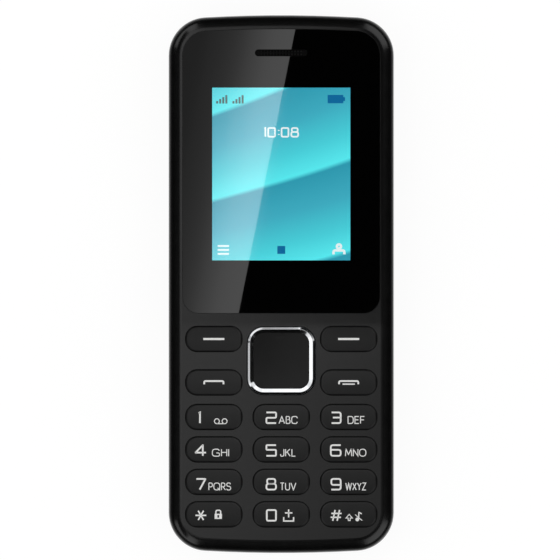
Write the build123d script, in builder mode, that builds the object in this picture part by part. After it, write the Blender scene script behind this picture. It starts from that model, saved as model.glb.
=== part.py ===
"""A bar phone with a screen above a keypad, as separate pieces in one frame.

Millimetres. X runs across the phone, Y along it towards the earpiece, Z from the back to the front.
The origin is the middle of the flat back.
"""
import os

from build123d import *

os.makedirs("parts", exist_ok=True)

# Outline seen from the front
body_width = 45.7
corner_radius = 7.8
end_bow = 0.95
front_edge_radius = 2.7
rear_edge_radius = 3.2

# Clearances and shared details
seat_gap = 0.2
touch_gap = 0.05
part_gap = 0.15
overrun = 1.0
housing_wall = 1.4

# Layers from the back to the front
cover_wall = 1.2
cover_gap = 0.1
battery_gap = 0.1
battery_thickness = 5.6
bay_roof = 0.6
shield_height = 1.5
board_thickness = 0.8
dome_sheet_thickness = 0.1
dome_height = 0.25
nub_height = 0.4
web_thickness = 0.35
pad_height = 0.35
key_flange_thickness = 0.4
face_thickness = 1.2

# Keys
key_height = 5.2
key_corner_flat = 0.2
key_side_margin = 3.43
key_column_gap = 2.17
key_row_gap = 1.38
key_gap = 0.09
key_rise = 0.42
key_crown_radius = 22.0
key_edge_radius = 0.4
key_flange = 0.35
dome_radius = 1.8
nub_radius = 1.1

# Layout along the front, from the foot to the earpiece end
call_gap = 1.81
nav_row_inset = 0.255
lens_low_margin = 2.66
display_ledge = 2.37
display_length = 46.0
receiver_spacing = 1.3
receiver_length = 6.2
receiver_ledge = 1.7
lens_margin = 2.9

# Display and earpiece
display_side_ledge = 2.95
display_lens_gap = 0.2
display_glass = 0.5
display_glass_inset = 0.6
flex_width = 16.0
flex_length = 2.6
flex_thickness = 0.15
lens_thickness = 1.0
lens_gap = 0.12
lens_low_radius = 3.3
tape_thickness = 0.15
tape_inset = 0.4
ledge_thickness = 0.9
receiver_width = 10.0
receiver_corner_radius = 2.0
receiver_lens_gap = 0.3
slot_length = 10.7
slot_width = 1.4
mesh_thickness = 0.25
mesh_depth = 0.45
mesh_hole_radius = 0.2
mesh_hole_pitch = 0.62
mesh_gap = 0.04

# Four-way key
nav_key_spacing = 1.17
nav_corner_radius = 3.2
nav_ring_width = 1.06
nav_rise = 0.55
nav_gap = 0.28
nav_bevel_width = 0.66
nav_bevel_height = 0.14
nav_outer_bevel_width = 0.34
nav_outer_bevel_height = 0.08
nav_rebate = 0.5
nav_rebate_height = 0.9
nav_side_flange = 0.35
nav_end_flange = 0.9
nav_drop = 0.62
nav_plate = 0.4
nav_dome_share = 0.348
nav_nub_share = 0.0815
select_gap = 0.15
select_rise = 0.45
select_dish_radius = 80.0
select_dish_depth = 0.38
select_flange = 0.32
select_flange_thickness = 0.4
select_mark_length = 2.2
select_mark_width = 0.4
fulcrum_inner_share = 0.148
fulcrum_outer_share = 0.207

# Joint between the shells, and the screws
parting_rise = 0.4
lip_inset = 0.75
lip_height = 0.7
lip_gap = 0.1
screw_radius = 0.8
screw_fit = 0.03
screw_length = 5.7
screw_head_radius = 1.4
screw_head_height = 0.8
screw_seat_depth = 3.4
screw_drive_width = 1.1
screw_drive_depth = 0.45
boss_radius = 1.4
boss_gap = 0.25
board_hole_gap = 0.15
board_gap = 0.3
counterbore_gap = 0.2
counterbore_wall = 0.7
cap_screw_inset = 7.6
foot_screw_wall = 0.41

# Back: battery, its cover and the sockets above it
cap_margin = 1.9
foot_length = 8.6
battery_side_margin = 5.85
battery_edge_radius = 0.6
battery_travel = 0.7
contact_zone = 4.0
sim_wall = 1.2
sim_side_wall = 0.8
sim_pocket_length = 15.6
sim_rib = 1.4
sim_height = 2.0
sim_slot_height = 0.95
sim_rail = 1.3
cover_rim_drop = 3.35
rail_depth = 0.6
rail_height = 0.7
rail_drop = 0.9
rail_low_margin = 18.6
rail_high_margin = 6.0
tab_width = 4.0
tab_reach = 1.0
tab_root = 1.0
tab_thickness = 0.6
tab_spacing = 24.0
grip_count = 5
grip_length = 15.0
grip_width = 1.0
grip_pitch = 2.2
grip_depth = 0.35
grip_margin = 4.0

# Board parts
connector_width = 9.0
connector_depth = 3.0
connector_floor = 0.75
pin_count = 3
pin_pitch = 2.5
pin_radius = 0.5
pin_fit = 0.05
pin_depth = 2.2
shield_side_margin = 8.0
shield_wall = 0.2
shield_length = 19.0
shield_rib = 4.0
chip_width = 10.0
chip_height = 1.0
led_width = 0.8
led_length = 1.6
led_height = 0.4
led_gap = 0.3

# Sockets, sound and motion
jack_spacing = 0.85
jack_width = 6.0
jack_length = 12.0
jack_below = 2.5
jack_drop = 2.9
jack_nose_radius = 2.4
jack_nose_recess = 0.3
jack_bore_radius = 1.8
jack_bore_length = 12.5
usb_width = 7.5
usb_height = 2.75
usb_length = 5.2
usb_recess = 0.6
usb_wall = 0.3
usb_corner_radius = 0.9
usb_tongue_width = 3.7
usb_tongue_height = 0.7
usb_tongue_recess = 0.9
mic_spacing = 1.4
mic_inset = 5.0
mic_radius = 2.0
mic_height = 1.4
mic_hole_radius = 0.45
speaker_offset = 7.65
speaker_drop = 7.5
speaker_radius = 7.25
speaker_height = 3.4
speaker_rim = 0.5
speaker_step = 0.8
cradle_wall = 0.8
cradle_height = 1.8
grille_count = 5
grille_length = 8.0
grille_width = 0.9
grille_pitch = 1.9
motor_side_margin = 3.95
motor_margin = 1.6
motor_radius = 2.0
motor_length = 8.0
motor_gap = 0.05
motor_seat = 2.6
motor_shaft_radius = 0.4
motor_shaft_gap = 0.06
weight_radius = 2.2
weight_length = 3.0
weight_spacing = 0.5
weight_clearance = 0.4
antenna_margin = 0.85
antenna_jack_gap = 1.0
antenna_length = 3.6
antenna_thickness = 0.6
antenna_arm = 1.0

# Levels worked out from the layers
battery_z = cover_wall + battery_gap
bay_roof_z = battery_z + battery_thickness + battery_gap
bay_top_z = bay_roof_z + bay_roof
board_z = bay_top_z + part_gap + shield_height
board_top_z = board_z + board_thickness
dome_base_z = board_top_z + dome_sheet_thickness
dome_top_z = dome_base_z + dome_height
nub_z = dome_top_z + touch_gap
web_z = nub_z + nub_height
web_top_z = web_z + web_thickness
pad_top_z = web_top_z + pad_height
flange_z = pad_top_z + touch_gap
flange_top_z = flange_z + key_flange_thickness
face_under_z = flange_top_z + touch_gap
face_z = face_under_z + face_thickness
parting_z = board_z + parting_rise
ledge_z = face_z - lens_thickness - tape_thickness
deck_z = ledge_z - ledge_thickness
cover_rim_z = board_z - cover_rim_drop
lens_z = face_z - lens_thickness
display_z = board_top_z + touch_gap
display_top_z = lens_z - display_lens_gap
display_glass_z = display_top_z - display_glass
receiver_top_z = lens_z - receiver_lens_gap
core_inset = cover_wall + cover_gap

# Places worked out from the layout
digit_rows = 4
key_columns = 3
all_rows = digit_rows + 2
row_pitch = key_height + key_row_gap
key_corner_radius = key_height / 2 - key_corner_flat
key_length = (body_width - 2 * key_side_margin - 2 * key_column_gap) / key_columns
column_pitch = key_length + key_column_gap
nav_size = 2 * column_pitch - key_length - 2 * nav_key_spacing
soft_gap = nav_size + 2 * nav_row_inset - 2 * key_height
counterbore_radius = screw_head_radius + counterbore_gap
foot_screw_inset = core_inset + foot_screw_wall + counterbore_radius
foot_margin = foot_screw_inset + boss_radius + boss_gap + key_flange
display_width = body_width - 2 * lens_margin - 2 * display_side_ledge
keypad_length = all_rows * key_height + (digit_rows - 1) * key_row_gap + call_gap + soft_gap
lens_length = display_ledge + display_length + receiver_spacing + receiver_length + receiver_ledge
body_length = foot_margin + keypad_length + lens_low_margin + lens_length + lens_margin
half_width = body_width / 2
half_length = body_length / 2
star_row_y = -half_length + foot_margin + key_height / 2
call_y = star_row_y + (digit_rows - 1) * row_pitch + key_height + call_gap
soft_y = call_y + key_height + soft_gap
nav_y = (soft_y + call_y) / 2
lens_low_y = soft_y + key_height / 2 + lens_low_margin
display_low_y = lens_low_y + display_ledge
display_high_y = display_low_y + display_length
display_y = (display_low_y + display_high_y) / 2
receiver_y = display_high_y + receiver_spacing + receiver_length / 2
deck_low_y = lens_low_y - housing_wall
cap_boss_radius = counterbore_radius + counterbore_wall
cradle_radius = speaker_radius + part_gap + cradle_wall
cap_length = cap_screw_inset + speaker_drop + cradle_radius + cap_margin + housing_wall
split_y = half_length - cap_length
sim_high_y = split_y - sim_wall
bay_low_y = -half_length + foot_length
sim_low_y = sim_high_y - sim_pocket_length
bay_high_y = sim_low_y - sim_wall - contact_zone
battery_width = body_width - 2 * battery_side_margin
battery_length = bay_high_y - bay_low_y - battery_travel - 2 * battery_gap
battery_y = bay_low_y + battery_gap + battery_length / 2

# Keys: name, column from the middle, and height on the face
digit_names = (
    ("key_star", "key_0", "key_hash"),
    ("key_7", "key_8", "key_9"),
    ("key_4", "key_5", "key_6"),
    ("key_1", "key_2", "key_3"),
)
key_places = {}
for row, names in enumerate(digit_names):
    for column, name in enumerate(names):
        key_places[name] = ((column - 1) * column_pitch, star_row_y + row * row_pitch)
key_places["key_call"] = (-column_pitch, call_y)
key_places["key_end"] = (column_pitch, call_y)
key_places["key_soft_left"] = (-column_pitch, soft_y)
key_places["key_soft_right"] = (column_pitch, soft_y)
key_spots = list(key_places.values())
nav_dome_offset = nav_size * nav_dome_share
nav_nub_radius = nav_size * nav_nub_share
nav_dome_spots = [
    (0, nav_y + nav_dome_offset),
    (0, nav_y - nav_dome_offset),
    (nav_dome_offset, nav_y),
    (-nav_dome_offset, nav_y),
]
led_spots = [
    (side * column_pitch / 2, star_row_y + (row + 1 / 2) * row_pitch)
    for side in (-1, 1)
    for row in (0, digit_rows - 2)
]

# Screws: two in the cap, two beside the display, two at the foot
screw_cap_y = half_length - cap_screw_inset
screw_cap_x = half_width - cap_screw_inset + housing_wall
screw_mid_x = display_width / 2 + seat_gap + boss_radius
screw_mid_y = (sim_low_y + sim_high_y) / 2
screw_foot_x = nav_size / 2 + 2 * boss_radius
screw_foot_y = -half_length + foot_screw_inset
screw_spots = [
    (side * x, y)
    for x, y in (
        (screw_cap_x, screw_cap_y),
        (screw_mid_x, screw_mid_y),
        (screw_foot_x, screw_foot_y),
    )
    for side in (-1, 1)
]
screw_seat_z = board_z - screw_seat_depth


def outline(inset):
    """The phone seen from the front, drawn in by inset: straight sides, bowed ends, round corners."""
    side_y = half_length - end_bow
    with BuildSketch() as sketch:
        with BuildLine():
            right = Line((half_width, -side_y), (half_width, side_y))
            top = ThreePointArc(right @ 1, (0, half_length), (-half_width, side_y))
            left = Line(top @ 1, (-half_width, -side_y))
            ThreePointArc(left @ 1, (0, -half_length), right @ 0)
        make_face()
        fillet(sketch.vertices(), corner_radius)
        if inset:
            offset(amount=-inset)
    return sketch.sketch


def band(inset, low_y, high_y):
    """The stretch of the drawn-in outline between two places along the phone."""
    with BuildSketch() as sketch:
        add(outline(inset))
        with Locations((0, (low_y + high_y) / 2)):
            Rectangle(body_width, high_y - low_y, mode=Mode.INTERSECT)
    return sketch.sketch


def lens_outline(grow):
    """The lens seen from the front: parallel to the outline above, straight with round corners below."""
    with BuildSketch() as sketch:
        add(band(lens_margin, lens_low_y, half_length))
        fillet(sketch.vertices().group_by(Axis.Y)[0], lens_low_radius)
        if grow:
            offset(amount=grow)
    return sketch.sketch


def rear_block(inset, top_z):
    """The back half of the phone as a solid block with its rounded edge, drawn in by inset."""
    with BuildPart() as block:
        with BuildSketch(Plane.XY.offset(inset)):
            add(outline(inset))
        extrude(amount=top_z - inset)
        fillet(block.faces().sort_by(Axis.Z)[0].edges(), rear_edge_radius - inset)
    return block.part


def write(piece, name):
    """Label a finished piece and write it to its own file."""
    piece.part.label = name
    export_step(piece.part, f"parts/{name}.step")


# Front cover: rounded rim, lens recess, key openings, screw bosses
with BuildPart() as front_cover:
    with BuildSketch(Plane.XY.offset(parting_z)):
        add(outline(0))
    extrude(amount=face_z - parting_z)
    fillet(front_cover.faces().sort_by(Axis.Z)[-1].edges(), front_edge_radius)
    with BuildSketch(Plane.XY.offset(parting_z)):
        add(outline(housing_wall))
    extrude(amount=face_under_z - parting_z, mode=Mode.SUBTRACT)
    with BuildSketch(Plane.XY.offset(parting_z)):
        add(outline(lip_inset - lip_gap))
    extrude(amount=lip_height + lip_gap, mode=Mode.SUBTRACT)
    with BuildSketch(Plane.XY.offset(deck_z)):
        add(band(housing_wall, deck_low_y, half_length))
    extrude(amount=face_under_z - deck_z)
    with BuildSketch(Plane.XY.offset(board_top_z)):
        with Locations(*screw_spots):
            Circle(boss_radius)
    extrude(amount=face_under_z - board_top_z)
    with BuildSketch(Plane.XY.offset(ledge_z)):
        add(lens_outline(lens_gap))
    extrude(amount=face_z - ledge_z, mode=Mode.SUBTRACT)
    with BuildSketch(Plane.XY.offset(board_top_z)):
        with Locations((0, display_y)):
            Rectangle(display_width + 2 * seat_gap, display_length + 2 * seat_gap)
        with Locations((0, receiver_y)):
            RectangleRounded(
                receiver_width + 2 * seat_gap,
                receiver_length + 2 * seat_gap,
                receiver_corner_radius + seat_gap,
            )
    extrude(amount=face_z - board_top_z, mode=Mode.SUBTRACT)
    with BuildSketch(Plane.XY.offset(face_under_z)):
        with Locations(*key_spots):
            RectangleRounded(
                key_length + 2 * key_gap, key_height + 2 * key_gap, key_corner_radius + key_gap
            )
        with Locations((0, nav_y)):
            RectangleRounded(
                nav_size + 2 * nav_gap, nav_size + 2 * nav_gap, nav_corner_radius + nav_gap
            )
    extrude(amount=face_thickness, mode=Mode.SUBTRACT)
    with BuildSketch(Plane.XY.offset(board_top_z)):
        with Locations(*screw_spots):
            Circle(screw_radius + screw_fit)
    extrude(amount=screw_seat_z + screw_length + part_gap - board_top_z, mode=Mode.SUBTRACT)
write(front_cover, "front_cover")

# Lens, its adhesive frame and the mesh in its earpiece slot
with BuildPart() as display_lens:
    with BuildSketch(Plane.XY.offset(lens_z)):
        add(lens_outline(0))
        with Locations((0, receiver_y)):
            SlotOverall(slot_length, slot_width, mode=Mode.SUBTRACT)
    extrude(amount=lens_thickness)
write(display_lens, "display_lens")

with BuildPart() as lens_tape:
    with BuildSketch(Plane.XY.offset(ledge_z)):
        add(lens_outline(-tape_inset))
        with Locations((0, display_y)):
            Rectangle(display_width + 2 * seat_gap, display_length + 2 * seat_gap, mode=Mode.SUBTRACT)
        with Locations((0, receiver_y)):
            RectangleRounded(
                receiver_width + 2 * seat_gap,
                receiver_length + 2 * seat_gap,
                receiver_corner_radius + seat_gap,
                mode=Mode.SUBTRACT,
            )
    extrude(amount=tape_thickness)
write(lens_tape, "lens_tape")

mesh_columns = int((slot_length - slot_width) / mesh_hole_pitch)
with BuildPart() as earpiece_mesh:
    with BuildSketch(Plane.XY.offset(face_z - mesh_depth - mesh_thickness)):
        with Locations((0, receiver_y)):
            SlotOverall(slot_length - 2 * mesh_gap, slot_width - 2 * mesh_gap)
            with GridLocations(mesh_hole_pitch, mesh_hole_pitch, mesh_columns, 2):
                Circle(mesh_hole_radius, mode=Mode.SUBTRACT)
    extrude(amount=mesh_thickness)
write(earpiece_mesh, "earpiece_mesh")

with BuildPart() as earpiece:
    with BuildSketch(Plane.XY.offset(display_z)):
        with Locations((0, receiver_y)):
            RectangleRounded(receiver_width, receiver_length, receiver_corner_radius)
    extrude(amount=receiver_top_z - display_z)
    sound_face = earpiece.faces().sort_by(Axis.Z)[-1]
    with BuildSketch(sound_face):
        SlotOverall(slot_length / 2, slot_width)
    extrude(amount=-mesh_thickness, mode=Mode.SUBTRACT)
write(earpiece, "earpiece")

# Display: frame with its light guide, glass panel, ribbon
with BuildPart() as lcd_frame:
    with BuildSketch(Plane.XY.offset(display_z)):
        with Locations((0, display_y)):
            Rectangle(display_width, display_length)
    extrude(amount=display_top_z - display_z)
    with BuildSketch(Plane.XY.offset(display_glass_z)):
        with Locations((0, display_y)):
            Rectangle(display_width - 2 * display_glass_inset, display_length - 2 * display_glass_inset)
    extrude(amount=display_glass, mode=Mode.SUBTRACT)
    fillet(lcd_frame.edges().filter_by(Axis.Z).group_by(SortBy.LENGTH)[-1], display_glass_inset / 2)
write(lcd_frame, "lcd_frame")

with BuildPart() as lcd_panel:
    with BuildSketch(Plane.XY.offset(display_glass_z)):
        with Locations((0, display_y)):
            Rectangle(
                display_width - 2 * display_glass_inset - 2 * touch_gap,
                display_length - 2 * display_glass_inset - 2 * touch_gap,
            )
    extrude(amount=display_glass)
write(lcd_panel, "lcd_panel")

with BuildPart() as lcd_flex:
    with BuildSketch(Plane.XY.offset(display_z)):
        with Locations((0, display_low_y - flex_length / 2)):
            Rectangle(flex_width, flex_length)
    extrude(amount=flex_thickness)
write(lcd_flex, "lcd_flex")

# Key caps: pill with a crowned top, and a flange that the face holds down
for name, (key_x, key_y) in key_places.items():
    with BuildPart() as key:
        with BuildSketch(Plane.XY.offset(flange_top_z)):
            with Locations((key_x, key_y)):
                RectangleRounded(key_length, key_height, key_corner_radius)
        extrude(amount=face_z + key_rise - flange_top_z)
        with Locations(Location((key_x, key_y, face_z + key_rise - key_crown_radius), (0, 90, 0))):
            Cylinder(key_crown_radius, 2 * key_length, mode=Mode.INTERSECT)
        fillet(key.faces().sort_by(Axis.Z)[-1].edges(), key_edge_radius)
        with BuildSketch(Plane.XY.offset(flange_z)):
            with Locations((key_x, key_y)):
                RectangleRounded(
                    key_length + 2 * key_flange,
                    key_height + 2 * key_flange,
                    key_corner_radius + key_flange,
                )
        extrude(amount=key_flange_thickness)
    write(key, name)

# Silicone mat under the keys, with a pad above and a nub below at each key
mat_half_width = column_pitch + key_length / 2
mat_low_y = star_row_y - key_height / 2
mat_high_y = soft_y + key_height / 2
mat_y = (mat_low_y + mat_high_y) / 2
nav_plate_width = nav_size + 2 * nav_side_flange
nav_plate_length = nav_size + 2 * nav_end_flange
with BuildPart() as keymat:
    with BuildSketch(Plane.XY.offset(web_z)):
        with Locations((0, mat_y)):
            RectangleRounded(2 * mat_half_width, mat_high_y - mat_low_y, key_corner_radius)
        with Locations((0, nav_y)):
            Rectangle(
                nav_plate_width + 2 * seat_gap,
                nav_plate_length + 2 * seat_gap,
                mode=Mode.SUBTRACT,
            )
        with Locations((0, nav_y + nav_plate_length / 2)):
            Rectangle(nav_plate_width + 2 * seat_gap, nav_plate_length, mode=Mode.SUBTRACT)
    extrude(amount=web_thickness)
    with BuildSketch(Plane.XY.offset(web_top_z)):
        with Locations(*key_spots):
            RectangleRounded(
                key_length - 2 * key_flange, key_height - 2 * key_flange, key_corner_radius - key_flange
            )
    extrude(amount=pad_height)
    with BuildSketch(Plane.XY.offset(nub_z)):
        with Locations(*key_spots):
            Circle(nub_radius)
    extrude(amount=nub_height)
write(keymat, "keymat")

# Snap domes on their carrier sheet
dome_sphere_radius = (dome_radius**2 + dome_height**2) / (2 * dome_height)
with BuildPart() as dome:
    with BuildSketch(Plane.XZ):
        with BuildLine():
            rim = Line((0, 0), (dome_radius, 0))
            crown = RadiusArc(rim @ 1, (0, dome_height), -dome_sphere_radius)
            Line(crown @ 1, rim @ 0)
        make_face()
    revolve(axis=Axis.Z)
with BuildPart() as dome_sheet:
    with BuildSketch(Plane.XY.offset(board_top_z)):
        with Locations((0, mat_y)):
            RectangleRounded(2 * mat_half_width, mat_high_y - mat_low_y, key_corner_radius)
        with Locations(*led_spots):
            Rectangle(led_length + 2 * led_gap, led_width + 2 * led_gap, mode=Mode.SUBTRACT)
    extrude(amount=dome_sheet_thickness)
    with Locations(*[(x, y, dome_base_z) for x, y in key_spots + nav_dome_spots + [(0, nav_y)]]):
        add(dome.part)
write(dome_sheet, "dome_sheet")

with BuildPart() as keypad_leds:
    with BuildSketch(Plane.XY.offset(board_top_z)):
        with Locations(*led_spots):
            Rectangle(led_length, led_width)
    extrude(amount=led_height)
write(keypad_leds, "keypad_leds")

# Four-way key: bright ring, its plate with four nubs, the fulcrum it rocks on, and the middle pad
nav_plate_top_z = face_under_z - nav_drop
nav_plate_z = nav_plate_top_z - nav_plate
nav_inner_size = nav_size - 2 * nav_ring_width
nav_inner_radius = nav_corner_radius - nav_ring_width
with BuildPart() as nav_ring:
    with BuildSketch(Plane.XY.offset(nav_plate_top_z)):
        with Locations((0, nav_y)):
            RectangleRounded(nav_size, nav_size, nav_corner_radius)
            RectangleRounded(nav_inner_size, nav_inner_size, nav_inner_radius, mode=Mode.SUBTRACT)
    extrude(amount=face_z + nav_rise - nav_plate_top_z)
    ring_top = nav_ring.faces().sort_by(Axis.Z)[-1]
    ring_edges = ring_top.inner_wires()[0].edges()
    chamfer(ring_edges, nav_bevel_width, nav_bevel_height, reference=ring_top)
    ring_top = nav_ring.faces().sort_by(Axis.Z)[-1]
    rim_edges = ring_top.outer_wire().edges()
    chamfer(rim_edges, nav_outer_bevel_width, nav_outer_bevel_height, reference=ring_top)
    with BuildSketch(Plane.XY.offset(nav_plate_top_z)):
        with Locations((0, nav_y)):
            RectangleRounded(
                nav_inner_size + 2 * nav_rebate,
                nav_inner_size + 2 * nav_rebate,
                nav_inner_radius + nav_rebate,
            )
    extrude(amount=nav_rebate_height, mode=Mode.SUBTRACT)
write(nav_ring, "nav_ring")

with BuildPart() as nav_underlay:
    with BuildSketch(Plane.XY.offset(nav_plate_z)):
        with Locations((0, nav_y)):
            RectangleRounded(nav_plate_width, nav_plate_length, nav_corner_radius)
            Circle(nav_nub_radius + seat_gap, mode=Mode.SUBTRACT)
    extrude(amount=nav_plate)
    with BuildSketch(Plane.XY.offset(nub_z)):
        with Locations(*nav_dome_spots):
            Circle(nav_nub_radius)
    extrude(amount=nav_plate_z - nub_z)
write(nav_underlay, "nav_underlay")

with BuildPart() as nav_fulcrum:
    with BuildSketch(Plane.XY.offset(dome_base_z + part_gap)):
        with Locations((0, nav_y)):
            Circle(nav_size * fulcrum_outer_share)
            Circle(nav_size * fulcrum_inner_share, mode=Mode.SUBTRACT)
    extrude(amount=nav_plate_z - dome_base_z - 2 * part_gap)
write(nav_fulcrum, "nav_fulcrum")

select_size = nav_inner_size - 2 * select_gap
select_radius = nav_inner_radius - select_gap
select_top_z = face_z + select_rise
select_flange_z = nav_plate_top_z + nav_rebate_height - touch_gap - select_flange_thickness
with BuildPart() as nav_select:
    with BuildSketch(Plane.XY.offset(select_flange_z)):
        with Locations((0, nav_y)):
            RectangleRounded(select_size, select_size, select_radius)
    extrude(amount=select_top_z - select_flange_z)
    with Locations((0, nav_y, select_top_z - select_dish_depth + select_dish_radius)):
        Sphere(select_dish_radius, mode=Mode.SUBTRACT)
    with BuildSketch(Plane.XY.offset(select_flange_z)):
        with Locations((0, nav_y)):
            RectangleRounded(
                select_size + 2 * select_flange,
                select_size + 2 * select_flange,
                select_radius + select_flange,
            )
    extrude(amount=select_flange_thickness)
    with BuildSketch(Plane.XY.offset(select_flange_z)):
        with Locations((0, nav_y + select_size / 2 - 2 * select_mark_width)):
            SlotOverall(select_mark_length, select_mark_width)
    extrude(amount=select_top_z - select_flange_z)
    with BuildSketch(Plane.XY.offset(nub_z)):
        with Locations((0, nav_y)):
            Circle(nav_nub_radius)
    extrude(amount=select_flange_z - nub_z)
write(nav_select, "nav_select")

# Main board with its screw holes
with BuildPart() as main_board:
    with BuildSketch(Plane.XY.offset(board_z)):
        add(outline(housing_wall + board_gap))
        with Locations(*screw_spots):
            Circle(screw_radius + board_hole_gap, mode=Mode.SUBTRACT)
    extrude(amount=board_thickness)
write(main_board, "main_board")

# Shield cans on the underside, with the chips inside them
shield_width = body_width - 2 * shield_side_margin
shield_high_y = bay_high_y - housing_wall - shield_length / 2
shield_low_y = shield_high_y - shield_length - shield_rib
for name, can_y in (("shield_can_upper", shield_high_y), ("shield_can_lower", shield_low_y)):
    with BuildPart() as can:
        with BuildSketch(Plane.XY.offset(board_z - shield_height)):
            with Locations((0, can_y)):
                Rectangle(shield_width, shield_length)
        extrude(amount=shield_height)
        fillet(can.edges().filter_by(Axis.Z), 2 * shield_wall)
        offset(amount=-shield_wall, openings=can.faces().sort_by(Axis.Z)[-1])
    write(can, name)

with BuildPart() as chips:
    with BuildSketch(Plane.XY.offset(board_z - chip_height)):
        with Locations((-chip_width / 2, shield_high_y), (0, shield_low_y)):
            Rectangle(chip_width, chip_width)
        with Locations((chip_width / 2 + chip_width / 4, shield_high_y)):
            Rectangle(chip_width / 2, chip_width / 2)
    extrude(amount=chip_height)
write(chips, "chips")

# Rear housing: closed cap above, battery bay and socket pocket under the cover
cover_length = split_y + half_length
bay_width = battery_width + 2 * battery_gap
sim_pocket_width = 2 * (screw_mid_x - counterbore_radius - sim_side_wall)
rail_low_z = cover_rim_z - rail_drop - rail_height
rail_x = half_width - cover_wall - rail_depth
rail_low_y = -half_length + rail_low_margin
rail_high_y = split_y - rail_high_margin
cap_floor_y = split_y + housing_wall
speaker_x = screw_cap_x - speaker_offset
speaker_y = screw_cap_y - speaker_drop
weight_end_x = half_width - housing_wall - motor_side_margin
motor_x = weight_end_x - weight_length - weight_spacing - motor_length / 2
motor_y = cap_floor_y + motor_margin + weight_radius
motor_z = housing_wall + weight_clearance + weight_radius
jack_z = board_z - jack_drop
usb_z = board_z - usb_height / 2
jack_x = screw_cap_x - cap_boss_radius - jack_spacing - jack_width / 2
mic_x = screw_foot_x + boss_radius + board_hole_gap + mic_spacing + mic_radius
mic_y = -half_length + mic_inset
connector_y = bay_high_y + touch_gap + connector_depth / 2

tab_z = cover_wall - cover_gap - tab_thickness
with BuildPart() as cover_space:
    add(rear_block(0, parting_z))
    add(rear_block(core_inset, parting_z), mode=Mode.SUBTRACT)
    with Locations((0, split_y, 0)):
        Box(
            body_width + overrun,
            cover_length + overrun,
            cover_rim_z,
            align=(Align.CENTER, Align.MAX, Align.MIN),
            mode=Mode.INTERSECT,
        )

with BuildPart() as rear_housing:
    add(rear_block(0, parting_z))
    add(cover_space.part, mode=Mode.SUBTRACT)
    with BuildSketch(Plane.XY.offset(parting_z)):
        add(outline(lip_inset))
    extrude(amount=lip_height)
    with BuildSketch(Plane.XY.offset(bay_top_z)):
        add(outline(housing_wall))
    extrude(amount=parting_z + lip_height - bay_top_z, mode=Mode.SUBTRACT)
    with BuildSketch(Plane.XY.offset(housing_wall)):
        add(band(housing_wall, cap_floor_y, half_length))
    extrude(amount=bay_top_z - housing_wall, mode=Mode.SUBTRACT)
    with BuildSketch():
        with Locations((0, (bay_low_y + bay_high_y) / 2)):
            Rectangle(bay_width, bay_high_y - bay_low_y)
    extrude(amount=bay_roof_z, mode=Mode.SUBTRACT)
    with BuildSketch():
        with Locations((0, (sim_low_y + sim_high_y) / 2)):
            Rectangle(sim_pocket_width, sim_high_y - sim_low_y)
        with Locations((0, connector_y - touch_gap)):
            Rectangle(connector_width + 2 * part_gap, connector_depth + 2 * part_gap)
    extrude(amount=parting_z, mode=Mode.SUBTRACT)
    with BuildSketch(Plane.XY.offset(housing_wall)):
        with Locations((-speaker_x, speaker_y)):
            Circle(cradle_radius)
            Circle(speaker_radius + part_gap, mode=Mode.SUBTRACT)
    extrude(amount=cradle_height)
    with BuildSketch(Plane.XY.offset(housing_wall)):
        with Locations((motor_x, motor_y)):
            with GridLocations(motor_length / 2, motor_length, 2, 1):
                Rectangle(cradle_wall, 2 * motor_radius + 2 * cradle_wall)
    extrude(amount=motor_seat)
    with Locations(Location((motor_x, motor_y, motor_z), (0, 90, 0))):
        Cylinder(motor_radius + motor_gap, motor_length + overrun, mode=Mode.SUBTRACT)
    with BuildSketch(Plane.XY.offset(housing_wall)):
        with Locations((-screw_cap_x, screw_cap_y), (screw_cap_x, screw_cap_y)):
            Circle(cap_boss_radius)
    extrude(amount=screw_seat_z + counterbore_wall - housing_wall)
    with BuildSketch(Plane.XY.offset(screw_seat_z)):
        with Locations(*screw_spots):
            Circle(boss_radius + board_hole_gap)
    extrude(amount=board_z - screw_seat_z)
    with BuildSketch():
        with Locations(*screw_spots):
            Circle(counterbore_radius)
    extrude(amount=screw_seat_z, mode=Mode.SUBTRACT)
    with BuildSketch(Plane.XY.offset(screw_seat_z)):
        with Locations(*screw_spots):
            Circle(screw_radius + board_hole_gap)
    extrude(amount=board_z - screw_seat_z, mode=Mode.SUBTRACT)
    with BuildSketch():
        with Locations((-speaker_x, speaker_y)):
            with GridLocations(grille_length, grille_pitch, 1, grille_count):
                SlotOverall(grille_length, grille_width)
    extrude(amount=housing_wall, mode=Mode.SUBTRACT)
    with Locations(Location((jack_x, half_length, jack_z), (90, 0, 0))):
        Cylinder(jack_nose_radius + part_gap, 2 * housing_wall + overrun, mode=Mode.SUBTRACT)
    with BuildSketch(Plane.XZ.offset(half_length - usb_length - usb_recess - part_gap)):
        with Locations((0, usb_z)):
            RectangleRounded(
                usb_width + 2 * part_gap, usb_height + 2 * part_gap, usb_corner_radius + part_gap
            )
    extrude(amount=usb_length + usb_recess + overrun, mode=Mode.SUBTRACT)
    with Locations(Location((-mic_x, -half_length, board_z - mic_height / 2), (90, 0, 0))):
        Cylinder(mic_hole_radius, 2 * (housing_wall + end_bow), mode=Mode.SUBTRACT)
    for side in (-1, 1):
        with Locations((side * (rail_x - cover_gap), rail_high_y + cover_gap, rail_low_z - cover_gap)):
            Box(
                half_width - rail_x,
                cover_length + overrun,
                rail_height + 2 * cover_gap,
                align=(Align.MIN if side > 0 else Align.MAX, Align.MAX, Align.MIN),
                mode=Mode.SUBTRACT,
            )
        with Locations((side * tab_spacing / 2, split_y + tab_reach + cover_gap, tab_z - cover_gap)):
            Box(
                tab_width + 2 * part_gap,
                tab_reach + tab_root + 2 * cover_gap + part_gap,
                tab_thickness + 2 * cover_gap,
                align=(Align.CENTER, Align.MAX, Align.MIN),
                mode=Mode.SUBTRACT,
            )
write(rear_housing, "rear_housing")

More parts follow.
